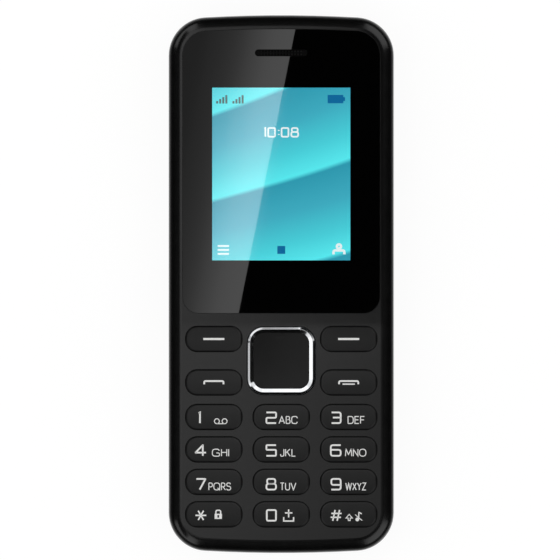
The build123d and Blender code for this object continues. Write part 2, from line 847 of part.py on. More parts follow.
# Battery cover: a tray that slides off the foot, held by side rails and two tabs
with BuildPart() as battery_cover:
    add(rear_block(0, cover_rim_z - cover_gap))
    add(rear_block(cover_wall, cover_rim_z + overrun), mode=Mode.SUBTRACT)
    with Locations((0, split_y - cover_gap, 0)):
        Box(
            body_width + overrun,
            cover_length + overrun,
            cover_rim_z,
            align=(Align.CENTER, Align.MAX, Align.MIN),
            mode=Mode.INTERSECT,
        )
    for side in (-1, 1):
        with Locations((side * rail_x, rail_high_y, rail_low_z)):
            Box(
                rail_depth + cover_wall / 2,
                rail_high_y - rail_low_y,
                rail_height,
                align=(Align.MIN if side > 0 else Align.MAX, Align.MAX, Align.MIN),
            )
        with Locations((side * tab_spacing / 2, split_y + tab_reach, tab_z)):
            Box(
                tab_width,
                tab_reach + tab_root,
                tab_thickness,
                align=(Align.CENTER, Align.MAX, Align.MIN),
            )
    with BuildSketch():
        with Locations((0, split_y - grip_margin - grip_count * grip_pitch / 2)):
            with GridLocations(grip_length, grip_pitch, 1, grip_count):
                SlotOverall(grip_length, grip_width)
    extrude(amount=grip_depth, mode=Mode.SUBTRACT)
write(battery_cover, "battery_cover")

# Battery, the connector on the board and its three spring pins
with BuildPart() as battery:
    with BuildSketch(Plane.XY.offset(battery_z)):
        with Locations((0, battery_y)):
            Rectangle(battery_width, battery_length)
    extrude(amount=battery_thickness)
    fillet(battery.edges(), battery_edge_radius)
write(battery, "battery")

pin_z = battery_z + battery_thickness / 2
connector_z = pin_z - pin_radius - connector_floor
pin_tip_y = battery_y + battery_length / 2 + touch_gap
pin_length = connector_y - connector_depth / 2 + pin_depth - battery_travel - pin_tip_y
pin_spots = [((i - (pin_count - 1) / 2) * pin_pitch, pin_z) for i in range(pin_count)]
with BuildPart() as battery_connector:
    with BuildSketch(Plane.XY.offset(connector_z)):
        with Locations((0, connector_y)):
            Rectangle(connector_width, connector_depth)
    extrude(amount=board_z - connector_z)
    with BuildSketch(Plane.XZ.offset(-(connector_y - connector_depth / 2))):
        with Locations(*pin_spots):
            Circle(pin_radius + pin_fit)
    extrude(amount=-(pin_depth + touch_gap), mode=Mode.SUBTRACT)
write(battery_connector, "battery_connector")

with BuildPart() as contact_pins:
    with BuildSketch(Plane.XZ.offset(-pin_tip_y)):
        with Locations(*pin_spots):
            Circle(pin_radius)
    extrude(amount=-pin_length)
write(contact_pins, "contact_pins")

# Sockets for two subscriber cards, side by side above the battery
sim_width = (sim_pocket_width - sim_rib) / 2 - part_gap
sim_length = sim_high_y - sim_low_y - 2 * part_gap
sim_x = (sim_width + sim_rib) / 2
sim_y = (sim_low_y + sim_high_y) / 2
for name, side in (("sim_socket_left", -1), ("sim_socket_right", 1)):
    with BuildPart() as socket:
        with BuildSketch(Plane.XY.offset(board_z - sim_height)):
            with Locations((side * sim_x, sim_y)):
                Rectangle(sim_width, sim_length)
        extrude(amount=sim_height)
        with Locations((side * sim_x, sim_low_y, board_z - sim_height / 2)):
            Box(
                sim_width - 2 * sim_rail,
                sim_length - sim_rail,
                sim_slot_height,
                align=(Align.CENTER, Align.MIN, Align.CENTER),
                mode=Mode.SUBTRACT,
            )
        with Locations((side * sim_x, sim_low_y, board_z - sim_height)):
            Box(
                sim_width - 4 * sim_rail,
                sim_length / 2,
                sim_height / 2,
                align=(Align.CENTER, Align.MIN, Align.MIN),
                mode=Mode.SUBTRACT,
            )
    write(socket, name)

# Charging socket: a metal shell with its tongue
usb_mouth_y = -half_length + usb_recess
with BuildPart() as usb_port:
    with BuildSketch(Plane.XZ.offset(-usb_mouth_y)):
        with Locations((0, usb_z)):
            RectangleRounded(usb_width, usb_height, usb_corner_radius)
    extrude(amount=-usb_length)
    with BuildSketch(Plane.XZ.offset(-usb_mouth_y)):
        with Locations((0, usb_z)):
            RectangleRounded(
                usb_width - 2 * usb_wall, usb_height - 2 * usb_wall, usb_corner_radius - usb_wall
            )
            Rectangle(usb_tongue_width, usb_tongue_height, mode=Mode.SUBTRACT)
    extrude(amount=-(usb_length - usb_wall), mode=Mode.SUBTRACT)
    with Locations((0, usb_mouth_y, usb_z)):
        Box(
            usb_tongue_width,
            usb_tongue_recess,
            usb_tongue_height,
            align=(Align.CENTER, Align.MIN, Align.CENTER),
            mode=Mode.SUBTRACT,
        )
write(usb_port, "usb_port")

# Headset socket: a block on the board with a round nose through the end wall
jack_bow = end_bow * (jack_x / half_width) ** 2
jack_mouth_y = half_length - jack_bow - jack_nose_recess
jack_body_y = half_length - jack_bow - housing_wall - board_gap
with BuildPart() as audio_jack:
    with Locations((jack_x, jack_body_y, board_z)):
        Box(jack_width, jack_length, jack_drop + jack_below, align=(Align.CENTER, Align.MAX, Align.MAX))
    with BuildSketch(Plane.XZ.offset(-jack_mouth_y)):
        with Locations((jack_x, jack_z)):
            Circle(jack_nose_radius)
    extrude(amount=jack_mouth_y - jack_body_y)
    with BuildSketch(Plane.XZ.offset(-jack_mouth_y)):
        with Locations((jack_x, jack_z)):
            Circle(jack_bore_radius)
    extrude(amount=jack_bore_length, mode=Mode.SUBTRACT)
write(audio_jack, "audio_jack")

with BuildPart() as microphone:
    with BuildSketch(Plane.XY.offset(board_z - mic_height)):
        with Locations((-mic_x, mic_y)):
            Circle(mic_radius)
    extrude(amount=mic_height)
    with BuildSketch(microphone.faces().sort_by(Axis.Z)[0]):
        Circle(mic_hole_radius)
    extrude(amount=-mic_hole_radius, mode=Mode.SUBTRACT)
write(microphone, "microphone")

with BuildPart() as loudspeaker:
    with BuildSketch(Plane.XY.offset(housing_wall + touch_gap)):
        with Locations((-speaker_x, speaker_y)):
            Circle(speaker_radius)
    extrude(amount=speaker_height - speaker_step)
    with BuildSketch(Plane.XY.offset(housing_wall + touch_gap + speaker_height - speaker_step)):
        with Locations((-speaker_x, speaker_y)):
            Circle(speaker_radius - 2 * speaker_step)
    extrude(amount=speaker_step)
    with BuildSketch(Plane.XY.offset(housing_wall + touch_gap)):
        with Locations((-speaker_x, speaker_y)):
            Circle(speaker_radius - speaker_rim)
            Circle(speaker_radius / 2, mode=Mode.SUBTRACT)
    extrude(amount=speaker_rim, mode=Mode.SUBTRACT)
write(loudspeaker, "loudspeaker")

# Vibration motor and its off-centre weight on the shaft
weight_x = weight_end_x - weight_length
with BuildPart() as vibration_motor:
    with BuildSketch(Plane.YZ.offset(motor_x - motor_length / 2)):
        with Locations((motor_y, motor_z)):
            Circle(motor_radius)
    extrude(amount=motor_length)
    with BuildSketch(Plane.YZ.offset(motor_x + motor_length / 2)):
        with Locations((motor_y, motor_z)):
            Circle(motor_shaft_radius + motor_shaft_gap)
    extrude(amount=-motor_length / 2, mode=Mode.SUBTRACT)
write(vibration_motor, "vibration_motor")

with BuildPart() as vibration_weight:
    with BuildSketch(Plane.YZ.offset(motor_x + motor_shaft_gap)):
        with Locations((motor_y, motor_z)):
            Circle(motor_shaft_radius)
    extrude(amount=weight_x + weight_length - motor_x - motor_shaft_gap)
    with BuildSketch(Plane.YZ.offset(weight_x)):
        with Locations((motor_y, motor_z)):
            Circle(weight_radius)
        with Locations((motor_y, motor_z + motor_shaft_radius)):
            Rectangle(
                2 * weight_radius,
                2 * weight_radius,
                align=(Align.CENTER, Align.MIN),
                mode=Mode.SUBTRACT,
            )
    extrude(amount=weight_length)
write(vibration_weight, "vibration_weight")

# Antenna: a slotted plate on the floor of the cap
antenna_left_x = cap_boss_radius + antenna_margin - screw_cap_x
antenna_right_x = jack_x - jack_width / 2 - antenna_jack_gap
antenna_width = antenna_right_x - antenna_left_x
antenna_x = (antenna_left_x + antenna_right_x) / 2
antenna_slot_length = antenna_width - 3 * antenna_arm
antenna_y = half_length - end_bow - housing_wall - part_gap - antenna_length / 2
with BuildPart() as antenna:
    with BuildSketch(Plane.XY.offset(housing_wall + touch_gap)):
        with Locations((antenna_x, antenna_y)):
            Rectangle(antenna_width, antenna_length)
        with Locations((antenna_right_x - antenna_slot_length / 2, antenna_y)):
            Rectangle(antenna_slot_length, antenna_length - 2 * antenna_arm, mode=Mode.SUBTRACT)
    extrude(amount=antenna_thickness)
write(antenna, "antenna")

# Screws from the back through the board into the front cover
with BuildPart() as screws:
    with BuildSketch(Plane.XY.offset(screw_seat_z - screw_head_height)):
        with Locations(*screw_spots):
            Circle(screw_head_radius)
    extrude(amount=screw_head_height)
    with BuildSketch(Plane.XY.offset(screw_seat_z)):
        with Locations(*screw_spots):
            Circle(screw_radius)
    extrude(amount=screw_length)
    with BuildSketch(Plane.XY.offset(screw_seat_z - screw_head_height)):
        with Locations(*screw_spots):
            RegularPolygon(screw_drive_width / 2, 6)
    extrude(amount=screw_drive_depth, mode=Mode.SUBTRACT)
write(screws, "screws")
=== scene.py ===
"""Looks of the bar phone: finishes, lit screen, printed key legends, studio and camera.

Lengths are metres in the CAD frame, apart from values and tables that say millimetres.
"""

import bpy
import numpy as np
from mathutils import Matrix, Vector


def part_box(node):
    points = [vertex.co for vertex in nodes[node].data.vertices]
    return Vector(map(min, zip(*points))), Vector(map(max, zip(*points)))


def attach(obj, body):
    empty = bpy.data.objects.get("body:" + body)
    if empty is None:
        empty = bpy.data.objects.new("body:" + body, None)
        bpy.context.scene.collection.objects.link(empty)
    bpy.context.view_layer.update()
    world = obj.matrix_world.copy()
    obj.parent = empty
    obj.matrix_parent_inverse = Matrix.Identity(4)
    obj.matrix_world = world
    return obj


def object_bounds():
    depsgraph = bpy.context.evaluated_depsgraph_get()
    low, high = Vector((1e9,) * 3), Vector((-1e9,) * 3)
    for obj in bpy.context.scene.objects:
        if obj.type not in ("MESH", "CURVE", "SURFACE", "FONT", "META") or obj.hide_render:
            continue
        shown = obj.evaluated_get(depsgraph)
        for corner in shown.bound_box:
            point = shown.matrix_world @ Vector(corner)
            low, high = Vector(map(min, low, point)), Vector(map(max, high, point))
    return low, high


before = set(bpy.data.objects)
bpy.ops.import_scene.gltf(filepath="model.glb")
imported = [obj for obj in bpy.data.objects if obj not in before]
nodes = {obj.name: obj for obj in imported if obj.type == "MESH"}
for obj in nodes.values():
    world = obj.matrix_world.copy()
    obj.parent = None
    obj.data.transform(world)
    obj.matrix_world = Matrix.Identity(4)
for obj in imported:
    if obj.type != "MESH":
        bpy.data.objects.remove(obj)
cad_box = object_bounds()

MM = 0.001
WHITE = (1, 1, 1, 1)


# Small helpers

def linear(code):
    """sRGB hex to linear colour, channel by channel.

    A dark channel is divided by 12.92. Any other is added to 0.055, divided by 1.055 and raised to 2.4.
    """
    value = np.array([int(code[k:k + 2], 16) for k in (1, 3, 5)]) / 255
    low, high = value / 12.92, ((value + 0.055) / 1.055) ** 2.4
    return (*np.where(value <= 0.04045, low, high).tolist(), 1.0)


def add(tree, kind, sockets=(), stops=(), **settings):
    """Add a node with its settings and links.

    Sockets are its inputs, as values or as outputs to link. Stops are a ramp's (place, hex) pairs.
    """
    made = tree.nodes.new(kind)
    for name, value in settings.items():
        setattr(made, name, value)
    for number, (place, code) in enumerate(stops):
        band = made.color_ramp.elements
        stop = band[number] if number < len(band) else band.new(place)
        stop.position, stop.color = place, linear(code)
    for key, value in dict(sockets).items():
        if isinstance(value, bpy.types.NodeSocket):
            tree.links.new(value, made.inputs[key])
        else:
            made.inputs[key].default_value = value
    return made


def blank(name):
    """A new material with an empty node tree, and that tree."""
    made = bpy.data.materials.new(name)
    made.use_nodes = True
    made.node_tree.nodes.clear()
    return made, made.node_tree


def per_mm(size):
    """Texture scale for features of this size in millimetres, on Object coordinates in metres."""
    return 1 / (size * MM)


def finish(name, dark, light, mottle, rough, grit=0.0, depth=0.0, strength=0.3, **sockets):
    """A solid material: two close tones mottled at one size, roughness that follows, and a finer bump."""
    made, tree = blank(name)
    place = add(tree, "ShaderNodeTexCoord").outputs["Object"]
    cloud = add(tree, "ShaderNodeTexNoise", {"Vector": place, "Scale": per_mm(mottle), "Detail": 3.0})
    gloss = add(tree, "ShaderNodeMapRange", {
        "Value": cloud.outputs["Fac"], "To Min": rough[0], "To Max": rough[1]})
    tone = add(tree, "ShaderNodeValToRGB", {"Fac": cloud.outputs["Fac"]}, stops=((0.3, dark), (0.7, light)))
    shader = add(tree, "ShaderNodeBsdfPrincipled", {
        "Base Color": tone.outputs["Color"], "Roughness": gloss.outputs["Result"], **sockets})
    if depth:
        grain = add(tree, "ShaderNodeTexNoise", {"Vector": place, "Scale": per_mm(grit), "Detail": 1.0})
        bump = add(tree, "ShaderNodeBump", {
            "Height": grain.outputs["Fac"], "Distance": depth * MM, "Strength": strength})
        tree.links.new(bump.outputs["Normal"], shader.inputs["Normal"])
    add(tree, "ShaderNodeOutputMaterial", {"Surface": shader.outputs["BSDF"]})
    return made


# Finishes, each from its real material. Mottle, grit and depth are sizes in mm. Moulding grit and polishing
# haze are really some hundredths of a millimetre, too fine for a render, so they are drawn a few times
# coarser.

# ABS moulded in a polished tool: deep black with a soft clear sheen that runs along its rounded edges
front_abs = finish("moulded_abs_black", "#060606", "#090909",
                   mottle=2.2, rough=(0.2, 0.24), grit=0.16, depth=0.002, strength=0.4)
# ABS from a spark-eroded tool: charcoal, with a fine grain that scatters all reflections
rear_abs = finish("eroded_abs_charcoal", "#212123", "#2a2a2c",
                  mottle=2.6, rough=(0.42, 0.52), grit=0.22, depth=0.008, strength=0.6)
# Polycarbonate keys from a lightly blasted tool: a shade duller than the face, so that each stands out
key_pc = finish("blasted_polycarbonate_keys", "#060606", "#090909",
                mottle=1.6, rough=(0.38, 0.44), grit=0.14, depth=0.002, strength=0.4,
                **{"Specular IOR Level": 0.36})
# Polycarbonate pad with a dark hard coat: the dish shows as a slow change from near black to charcoal
pad_pc = finish("hard_coated_polycarbonate_pad", "#050505", "#080808",
                mottle=1.6, rough=(0.22, 0.26), grit=0.14, depth=0.001, strength=0.4,
                **{"Specular IOR Level": 0.22})
# Bright chrome plate: a near mirror, white and black by turns, with a faint polishing haze
chrome = finish("bright_chrome_plate", "#d9dbde", "#e4e6e8", mottle=1.8, rough=(0.05, 0.1), Metallic=1.0)
# Stamped stainless steel: cool grey, smeared highlights from the rolled sheet
steel = finish("stamped_stainless_steel", "#a9abad", "#bcbec0",
               mottle=1.1, rough=(0.28, 0.4), grit=0.12, depth=0.003, Metallic=1.0)
# Etched steel mesh, blackened: matt and dark, so that its holes hardly show
mesh_steel = finish("etched_steel_mesh_black", "#030303", "#060606",
                    mottle=0.6, rough=(0.7, 0.8), grit=0.1, depth=0.002, **{"Specular IOR Level": 0.12})
# Gold flash plate on contacts: warm and fairly sharp
gold = finish("gold_flash_plate", "#d2a544", "#e3bb5e",
              mottle=0.7, rough=(0.2, 0.3), grit=0.1, depth=0.001, Metallic=1.0)
# Acrylic foam tape: flat black with a slight sponge
tape = finish("acrylic_foam_tape_black", "#0c0c0d", "#121214",
              mottle=0.7, rough=(0.75, 0.9), grit=0.15, depth=0.01)
# Polycarbonate light guide filled with white: even and a little waxy
white_pc = finish("white_polycarbonate_guide", "#e4e5e1", "#eeefeb",
                  mottle=2.0, rough=(0.4, 0.5), grit=0.2, depth=0.003)
# Display glass with its polariser: dark, smooth, faintly blue
glass = finish("display_glass_dark", "#0a1012", "#0e1518", mottle=3.0, rough=(0.03, 0.06))
# Polyimide film: amber brown with a satin gloss
flex = finish("polyimide_flex_film", "#8a4d17", "#a4601f",
              mottle=0.8, rough=(0.3, 0.4), grit=0.2, depth=0.003)
# Silicone rubber: mid grey, dull, with a skin like fine dust
silicone = finish("silicone_rubber_keymat", "#5d6164", "#686c6f",
                  mottle=1.5, rough=(0.55, 0.65), grit=0.2, depth=0.004)
# Polyester film over snap domes: pale and slightly glossy
dome_film = finish("polyester_dome_film", "#cfd2d2", "#dddfdf",
                   mottle=1.2, rough=(0.25, 0.35), grit=0.15, depth=0.002)
# Clear epoxy of small lamps: cream, rather glossy
led_resin = finish("led_lens_epoxy", "#efe9c8", "#f6f2dc", mottle=0.4, rough=(0.15, 0.25))
# Filled epoxy moulding of chips and capsules: near black, matt
resin = finish("black_epoxy_moulding", "#101011", "#17181a",
               mottle=0.6, rough=(0.45, 0.6), grit=0.1, depth=0.004)
# Shrink film round the battery: slate with a soft plastic gloss
wrap = finish("battery_shrink_film", "#23282b", "#2b3134",
              mottle=3.5, rough=(0.35, 0.45), grit=0.25, depth=0.003)
# Glass-epoxy board under solder mask: leaf green, clouded by the cloth beneath
laminate = finish("glass_epoxy_board_green", "#0f4a2c", "#176039",
                  mottle=0.8, rough=(0.3, 0.45), grit=0.3, depth=0.006)
# White pad-printing ink: flat and even, hardly any gloss
legend_ink = finish("pad_print_ink_white", "#f2f2f0", "#f8f8f6", mottle=0.5, rough=(0.4, 0.5))

# Lit screen in mm: its width and height, and its middle in the CAD frame
SCREEN_WIDE, SCREEN_TALL = 28.03, 35.04
SCREEN_MIDDLE = (0.0, 22.34)
# Size of the faint haze on the lens, in mm
LENS_HAZE = 6


def printed_acrylic():
    """Cast acrylic, mirror smooth, printed deep black behind all but a clear window over the screen.

    The window is where the distances from its middle, across and along, are both less than half its size.
    """
    made, tree = blank("cast_acrylic_back_printed")
    place = add(tree, "ShaderNodeTexCoord").outputs["Object"]
    centred = add(tree, "ShaderNodeMapping", {
        "Vector": place, "Location": (-SCREEN_MIDDLE[0] * MM, -SCREEN_MIDDLE[1] * MM, 0)}).outputs["Vector"]
    size = add(tree, "ShaderNodeVectorMath", {0: centred}, operation="ABSOLUTE").outputs["Vector"]
    part = add(tree, "ShaderNodeSeparateXYZ", {"Vector": size}).outputs
    wide = add(tree, "ShaderNodeMath", {0: part["X"], 1: SCREEN_WIDE / 2 * MM}, operation="LESS_THAN")
    tall = add(tree, "ShaderNodeMath", {0: part["Y"], 1: SCREEN_TALL / 2 * MM}, operation="LESS_THAN")
    both = add(tree, "ShaderNodeMath", {0: wide.outputs[0], 1: tall.outputs[0]}, operation="MULTIPLY")
    window = both.outputs[0]
    haze = add(tree, "ShaderNodeTexNoise", {"Vector": place, "Scale": per_mm(LENS_HAZE)})
    gloss = add(tree, "ShaderNodeMapRange", {"Value": haze.outputs["Fac"], "To Min": 0.0, "To Max": 0.02})
    tone = add(tree, "ShaderNodeValToRGB", {"Fac": window}, stops=((0.0, "#020202"), (1.0, "#ffffff")))
    shader = add(tree, "ShaderNodeBsdfPrincipled", {
        "Base Color": tone.outputs["Color"], "Transmission Weight": window,
        "Roughness": gloss.outputs["Result"], "IOR": 1.49})
    add(tree, "ShaderNodeOutputMaterial", {"Surface": shader.outputs["BSDF"]})
    return made


slots = {
    "front_plastic": front_abs, "rear_plastic": rear_abs, "lens_acrylic": printed_acrylic(),
    "adhesive_tape": tape, "steel": steel, "white_plastic": white_pc, "display_glass": glass,
    "flex_film": flex, "silicone": silicone, "dome_film": dome_film, "led_resin": led_resin,
    "board_laminate": laminate, "black_resin": resin, "gold_plate": gold, "battery_wrap": wrap,
    "key_plastic": key_pc, "nav_chrome": chrome,
}
for node in nodes.values():
    for held in node.material_slots:
        held.material = slots[held.material.name.split(".")[0]]
nodes["nav_select"].material_slots[0].material = pad_pc
nodes["earpiece_mesh"].material_slots[0].material = mesh_steel
nodes["earpiece"].material_slots[0].material = resin


# Making pieces from arrays

def cells(rows, columns):
    """Four-sided faces of a grid of points numbered row by row: each cell is one face."""
    index = np.arange(rows * columns).reshape(rows, columns)
    return np.stack([index[:-1, :-1], index[:-1, 1:], index[1:, 1:], index[1:, :-1]], axis=-1).reshape(-1, 4)


def mesh_piece(name, points, faces, material, body):
    """An object at the origin from points in mm and four-sided faces, riding on a body."""
    mesh = bpy.data.meshes.new(name)
    mesh.from_pydata((points * MM).tolist(), [], faces.tolist())
    mesh.polygons.foreach_set("use_smooth", np.full(len(faces), True))
    mesh.materials.append(material)
    made = bpy.data.objects.new(name, mesh)
    bpy.context.scene.collection.objects.link(made)
    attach(made, body)
    return made


def rounded(points, radius, closed=False, steps=7):
    """A broken line with rounded corners.

    Each corner gives way to a quadratic curve between the points a radius away from it on its two sides, or
    half a side away where a side is short.
    """
    points = np.asarray(points, float)
    if closed:
        points = np.concatenate([points[-1:], points, points[:1]])
    if len(points) < 3:
        return points
    back, ahead = points[:-2] - points[1:-1], points[2:] - points[1:-1]
    back_length, ahead_length = (np.linalg.norm(side, axis=1, keepdims=True) for side in (back, ahead))
    reach = np.minimum(radius, np.minimum(back_length, ahead_length) / 2)
    start, end = points[1:-1] + back / back_length * reach, points[1:-1] + ahead / ahead_length * reach
    gone = np.linspace(0, 1, steps)[None, :, None]
    left = 1 - gone
    curve = left ** 2 * start[:, None] + 2 * gone * left * points[1:-1, None] + gone ** 2 * end[:, None]
    curve = curve.reshape(-1, 2)
    return np.concatenate([curve, curve[:1]]) if closed else np.concatenate([points[:1], curve, points[-1:]])


def line(*points, bend=0.0, closed=False):
    """A path through points, its corners rounded by bend."""
    if bend:
        return rounded(points, bend, closed)
    return np.array(points + points[:1] if closed else points, float)


def circle(x, y, radius, count=20):
    """A closed round path: its middle plus the radius times the cosine and sine of a full turn."""
    turn = np.linspace(0, 2 * np.pi, count + 1)
    turn[-1] = 0
    return np.stack([x + radius * np.cos(turn), y + radius * np.sin(turn)], axis=1)


def dense(path, step=0.3):
    """The same path with points added along its length, no further apart than the step in mm."""
    length = np.concatenate([[0], np.cumsum(np.linalg.norm(np.diff(path, axis=0), axis=1))])
    even = np.linspace(0, length[-1], int(length[-1] / step) + 2)
    stops = np.unique(np.concatenate([length, even]).round(5))
    return np.stack([np.interp(stops, length, path[:, k]) for k in (0, 1)], axis=1)


def ribbon(path, width, same=1e-6, sharpest=0.45):
    """A flat stroke, as points and faces.

    Each point of the path is moved to both sides by half the width along the mitred normal. Points closer
    than same count as one, and sharpest limits how far a mitre reaches.
    """
    path = path[np.concatenate([[True], np.linalg.norm(np.diff(path, axis=0), axis=1) > same])]
    run = np.diff(path, axis=0)
    run /= np.linalg.norm(run, axis=1, keepdims=True)
    loop = np.linalg.norm(path[0] - path[-1]) < same
    first, last = (run[-1:], run[:1]) if loop else (run[:1], run[-1:])
    before, after = np.concatenate([first, run]), np.concatenate([run, last])
    normal = np.stack([-(before + after)[:, 1], (before + after)[:, 0]], axis=1)
    normal /= np.linalg.norm(normal, axis=1, keepdims=True)
    across = np.stack([-before[:, 1], before[:, 0]], axis=1)
    mitre = width / 2 / np.clip((normal * across).sum(axis=1, keepdims=True), sharpest, 1)
    points = np.stack([path + normal * mitre, path - normal * mitre], axis=1).reshape(-1, 2)
    step = np.arange(len(path) - 1)[:, None] * 2
    return points, step + np.array([[1, 3, 2, 0]])


def strokes(parts):
    """Several ribbons as one set of points and faces. Each part is (path, width)."""
    all_points, all_faces, total = [], [], 0
    for path, width in parts:
        points, faces = ribbon(path, width)
        all_points.append(points)
        all_faces.append(faces + total)
        total += len(points)
    return np.concatenate(all_points), np.concatenate(all_faces)


# Signs on a unit height, and the words that they make

def stroke(*points, bend=0.0, closed=False):
    """One stroke of a sign: its points, the reach of its rounded corners and whether it closes."""
    return points, bend, closed


# Width of most digits
WIDE = 0.82
GLYPHS = {
    "0": [stroke((0, 0), (WIDE, 0), (WIDE, 1), (0, 1), bend=0.16, closed=True)],
    "1": [stroke((0, 0.94), (0.12, 1), (0.12, 0))],
    "2": [stroke((0, 1), (WIDE, 1), (WIDE, 0.5), (0, 0.5), (0, 0), (WIDE, 0), bend=0.13)],
    "3": [stroke((0, 1), (WIDE, 1), (WIDE, 0), (0, 0), bend=0.2), stroke((0.12, 0.52), (WIDE, 0.52))],
    "4": [stroke((0.62, 0), (0.62, 1), (0, 0.3), (0.9, 0.3), bend=0.02)],
    "5": [stroke((WIDE, 1), (0, 1), (0, 0.56), (WIDE, 0.56), (WIDE, 0), (0, 0), bend=0.1)],
    "6": [stroke((WIDE, 1), (0, 1), (0, 0), (WIDE, 0), (WIDE, 0.56), (0, 0.56), bend=0.22)],
    "7": [stroke((0, 1), (WIDE, 1), (0.3, 0), bend=0.04)],
    "8": [stroke((0.06, 0.54), (0.76, 0.54), (0.76, 1), (0.06, 1), bend=0.2, closed=True),
          stroke((0, 0), (WIDE, 0), (WIDE, 0.54), (0, 0.54), bend=0.22, closed=True)],
    "9": [stroke((WIDE, 0.44), (0, 0.44), (0, 1), (WIDE, 1), (WIDE, 0), (0, 0), bend=0.22)],
    "*": [stroke((0, 0.5), (1, 0.5)), stroke((0.25, 0.07), (0.75, 0.93)),
          stroke((0.25, 0.93), (0.75, 0.07))],
    "#": [stroke((0.18, 0), (0.4, 1)), stroke((0.58, 0), (0.8, 1)),
          stroke((0, 0.32), (0.92, 0.32)), stroke((0.06, 0.68), (0.98, 0.68))],
    ":": [stroke((0.1, 0.2), (0.1, 0.32)), stroke((0.1, 0.66), (0.1, 0.78))],
    "A": [stroke((0, 0), (0.42, 1), (0.84, 0)), stroke((0.15, 0.34), (0.69, 0.34))],
    "B": [stroke((0, 0), (0, 1)), stroke((0, 1), (0.52, 1), (0.52, 0.54), (0, 0.54), bend=0.22),
          stroke((0, 0.54), (0.6, 0.54), (0.6, 0), (0, 0), bend=0.26)],
    "C": [stroke((0.86, 0.76), (0.74, 1), (0, 1), (0, 0), (0.74, 0), (0.86, 0.24), bend=0.5)],
    "D": [stroke((0, 0), (0, 1)), stroke((0, 1), (0.74, 1), (0.74, 0), (0, 0), bend=0.48)],
    "E": [stroke((0.55, 1), (0, 1), (0, 0), (0.55, 0)), stroke((0, 0.52), (0.48, 0.52))],
    "F": [stroke((0.55, 1), (0, 1), (0, 0)), stroke((0, 0.52), (0.48, 0.52))],
    "G": [stroke((0.86, 0.78), (0.74, 1), (0, 1), (0, 0), (0.9, 0), (0.9, 0.46), (0.5, 0.46), bend=0.42)],
    "H": [stroke((0, 0), (0, 1)), stroke((0.66, 0), (0.66, 1)), stroke((0, 0.54), (0.66, 0.54))],
    "I": [stroke((0, 0), (0, 1))],
    "J": [stroke((0.46, 1), (0.46, 0), (0, 0), (0, 0.3), bend=0.24)],
    "K": [stroke((0, 0), (0, 1)), stroke((0.6, 1), (0, 0.44)), stroke((0.2, 0.63), (0.66, 0))],
    "L": [stroke((0, 1), (0, 0), (0.5, 0))],
    "M": [stroke((0, 0), (0.1, 1), (0.48, 0.24), (0.86, 1), (0.96, 0))],
    "N": [stroke((0, 0), (0, 1), (0.7, 0), (0.7, 1))],
    "O": [stroke((0, 0), (0.96, 0), (0.96, 1), (0, 1), bend=0.5, closed=True)],
    "P": [stroke((0, 0), (0, 1)), stroke((0, 1), (0.56, 1), (0.56, 0.44), (0, 0.44), bend=0.28)],
    "Q": [stroke((0, 0), (0.96, 0), (0.96, 1), (0, 1), bend=0.5, closed=True),
          stroke((0.6, 0.3), (0.98, -0.04))],
    "R": [stroke((0, 0), (0, 1)), stroke((0, 1), (0.56, 1), (0.56, 0.46), (0, 0.46), bend=0.28),
          stroke((0.28, 0.46), (0.62, 0))],
    "S": [stroke((0.58, 0.82), (0.5, 1), (0, 1), (0, 0.54), (0.62, 0.5), (0.62, 0), (0.06, 0), (0, 0.18),
                 bend=0.25)],
    "T": [stroke((0, 1), (0.62, 1)), stroke((0.31, 1), (0.31, 0))],
    "U": [stroke((0, 1), (0, 0), (0.68, 0), (0.68, 1), bend=0.34)],
    "V": [stroke((0, 1), (0.4, 0), (0.8, 1))],
    "W": [stroke((0, 1), (0.28, 0), (0.56, 1), (0.84, 0), (1.12, 1))],
    "X": [stroke((0, 0), (0.68, 1)), stroke((0, 1), (0.68, 0))],
    "Y": [stroke((0, 1), (0.36, 0.5), (0.72, 1)), stroke((0.36, 0.5), (0.36, 0))],
    "Z": [stroke((0, 1), (0.66, 1), (0, 0), (0.7, 0))],
}
# A word narrower than this keeps its own proportions
NARROW = 0.3


def lettering(word, left, right, low, height, width, spacing=0.24):
    """Strokes of a word, stretched to run from left to right at one height, all in mm.

    Its signs are scaled up to the height less a stroke's width, and across so that the word fits its length.
    """
    inner = height - width
    widths = [max(x for points, _, _ in GLYPHS[sign] for x, _ in points) for sign in word]
    starts = np.cumsum([0] + [wide + spacing for wide in widths[:-1]])
    total = starts[-1] + widths[-1]
    stretch = (right - left - width) / total if total > NARROW else inner
    return [
        (line(*(np.array(points) * (stretch, inner)), bend=bend * inner, closed=closed)
         + (left + width / 2 + start * stretch, low + width / 2), width)
        for sign, start in zip(word, starts) for points, bend, closed in GLYPHS[sign]
    ]


# Key legends in mm, as offsets from each key's middle: the sign with its left and right ends, then the
# letters with theirs. The feet of both stand at LOW, or at FOOT where a key isn't named there.
LEGENDS = {
    "key_1": ("1", -3.24, -2.3, "", 0, 0), "key_2": ("2", -3.18, -0.88, "ABC", -0.54, 3.36),
    "key_3": ("3", -3.63, -1.45, "DEF", -0.22, 3.28), "key_4": ("4", -3.87, -1.41, "GHI", -0.39, 3.1),
    "key_5": ("5", -3.18, -0.9, "JKL", -0.21, 2.96), "key_6": ("6", -3.79, -1.45, "MNO", -0.76, 3.58),
    "key_7": ("7", -3.7, -1.53, "PQRS", -1.1, 3.5), "key_8": ("8", -3.18, -0.9, "TUV", -0.27, 3.04),
    "key_9": ("9", -3.69, -1.45, "WXYZ", -0.68, 3.6), "key_0": ("0", -3.1, -0.9, "", 0, 0),
    "key_star": ("*", -3.87, -1.39, "", 0, 0), "key_hash": ("#", -3.79, -1.29, "", 0, 0),
}
FOOT = -1.45
LOW = {"key_1": -1.4, "key_2": -1.4, "key_3": -1.4, "key_7": -1.72, "key_8": -1.72, "key_9": -1.72}
SIGN_HEIGHT, LETTER_HEIGHT = 2.5, 1.6
